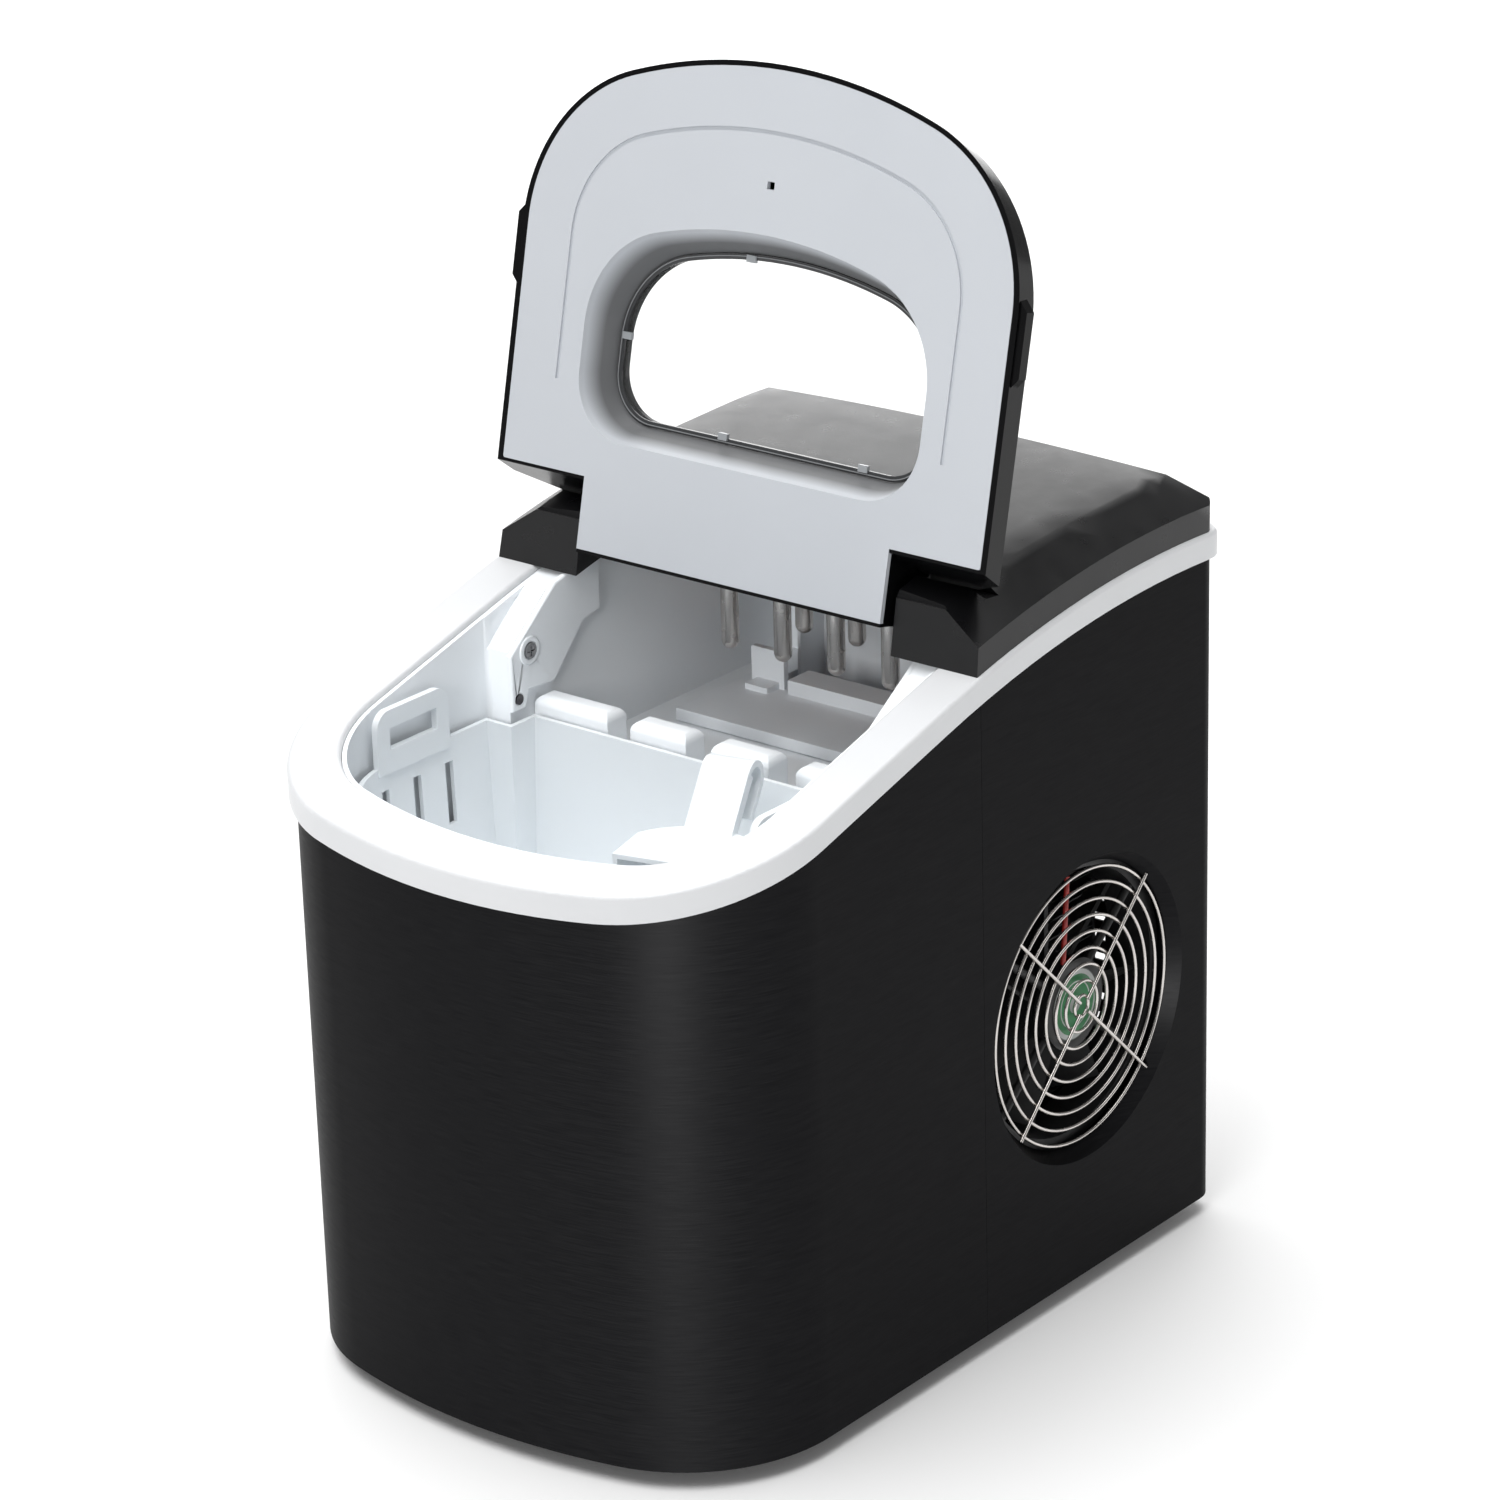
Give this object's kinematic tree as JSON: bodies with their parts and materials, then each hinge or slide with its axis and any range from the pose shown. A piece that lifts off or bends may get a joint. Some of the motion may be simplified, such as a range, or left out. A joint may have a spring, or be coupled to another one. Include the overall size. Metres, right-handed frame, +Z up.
{
  "type": "portable ice maker",
  "caption": "Countertop ice maker with a tip-back windowed lid, lift-out ice basket and scoop, tilting water tray and a side fan behind a wire grille.",
  "frame": {"origin": "centre of the footprint, on the surface that the feet stand on", "axes": "+Z up, the front faces -Y, +X is to the right of someone facing the front"},
  "size_m": [0.2484, 0.3408, 0.4962],
  "materials": {
    "black_steel": "brushed satin black",
    "white_abs": "satin white",
    "liner_white": "satin white",
    "basket_white": "translucent white",
    "tray_white": "satin white",
    "black_gloss": "gloss black",
    "clear_pane": "clear",
    "black_plastic": "satin black",
    "black_rubber": "matte",
    "clear_clip": "clear",
    "steel_pin": "zinc plated",
    "bright_wire": "bright",
    "copper": "copper",
    "bracket_steel": "satin",
    "fins": "satin",
    "compressor_paint": "semi gloss black",
    "foam": "expanded foam",
    "green_label": "printed",
    "red_wire": "insulation",
    "board_green": "laminate",
    "pump_grey": "satin",
    "hose_rubber": "silicone",
    "lens_dark": "dark clear",
    "indicator": "clear tinted",
    "button_grey": "satin grey"
  },
  "bodies": {
    "housing": {"base_pan": "black_plastic", "rubber_feet": "black_rubber", "front_wrap_panel": "black_steel", "rear_shell": "black_steel", "top_collar": "white_abs", "rear_deck_cover": "black_gloss", "liner_tub": "liner_white", "ice_comb": "liner_white", "sensor_bracket_left": "liner_white", "sensor_bracket_right": "liner_white", "sensor_lenses": "lens_dark", "bracket_screws": "steel_pin", "freezing_fingers": "bright_wire", "evaporator_tube": "copper", "evaporator_bracket": "bracket_steel", "tray_motor": "black_plastic", "fan_grille": "bright_wire", "fan_frame": "black_plastic", "fan_label": "green_label", "fan_lead": "red_wire", "condenser": "fins", "compressor": "compressor_paint", "compressor_mounts": "black_rubber", "filter_drier": "copper", "suction_pipe": "copper", "water_pump": "pump_grey", "pump_mount": "black_plastic", "pump_hose": "hose_rubber", "power_board": "board_green", "board_carrier": "black_plastic", "hot_gas_valve": "copper", "tank_insulation": "foam", "cord_gland": "black_plastic", "rear_screws": "steel_pin"},
    "lid": {"lid_shell": "black_gloss", "lid_liner": "white_abs", "lid_window": "clear_pane", "window_clips": "clear_clip", "hinge_pins": "steel_pin", "control_bezel": "black_plastic", "indicator_lights": "indicator", "control_board": "board_green", "bezel_supports": "pump_grey"},
    "power_key": {"power_button": "button_grey"},
    "select_key": {"select_button": "button_grey"},
    "basket": {"ice_basket": "basket_white"},
    "scoop": {"ice_scoop": "basket_white"},
    "tray": {"water_tray": "tray_white"},
    "pusher": {"ice_pusher": "tray_white"},
    "rotor": {"fan_rotor": "black_plastic"},
    "plug": {"drain_plug": "black_rubber"}
  },
  "joints": [
    {"name": "lid_hinge", "type": "hinge", "parent": "housing", "child": "lid", "pos_m": [0, 0.0164, 0.3061], "axis": [1, 0, 0], "range_deg": [0, 118]},
    {"name": "fan_spin", "type": "hinge", "parent": "housing", "child": "rotor", "pos_m": [0.095, 0.077, 0.1235], "axis": [1, 0, 0], "continuous": true},
    {"name": "tray_tilt", "type": "hinge", "parent": "housing", "child": "tray", "pos_m": [0, 0.118, 0.258], "axis": [-1, 0, 0], "range_deg": [0, 88]},
    {"name": "pusher_slide", "type": "slide", "parent": "housing", "child": "pusher", "axis": [0, -1, 0], "range_m": [0, 0.054]},
    {"name": "basket_lift", "type": "slide", "parent": "housing", "child": "basket", "axis": [0, 0, 1], "range_m": [0, 0.002]},
    {"name": "scoop_lift", "type": "slide", "parent": "basket", "child": "scoop", "axis": [0, 0, 1], "range_m": [0, 0.02]},
    {"name": "power_press", "type": "slide", "parent": "lid", "child": "power_key", "axis": [0, -0.9745, 0.2242], "range_m": [0, 0.0008], "stiffness_N_per_m": 300},
    {"name": "select_press", "type": "slide", "parent": "lid", "child": "select_key", "axis": [0, -0.9745, 0.2242], "range_m": [0, 0.0008], "stiffness_N_per_m": 300},
    {"name": "drain_pull", "type": "slide", "parent": "housing", "child": "plug", "axis": [-1, 0, 0], "range_m": [0, 0.02]}
  ],
  "couplings": [
    {"joint": "pusher_slide", "follows": "tray_tilt", "m_per_rad": 0.035}
  ]
}
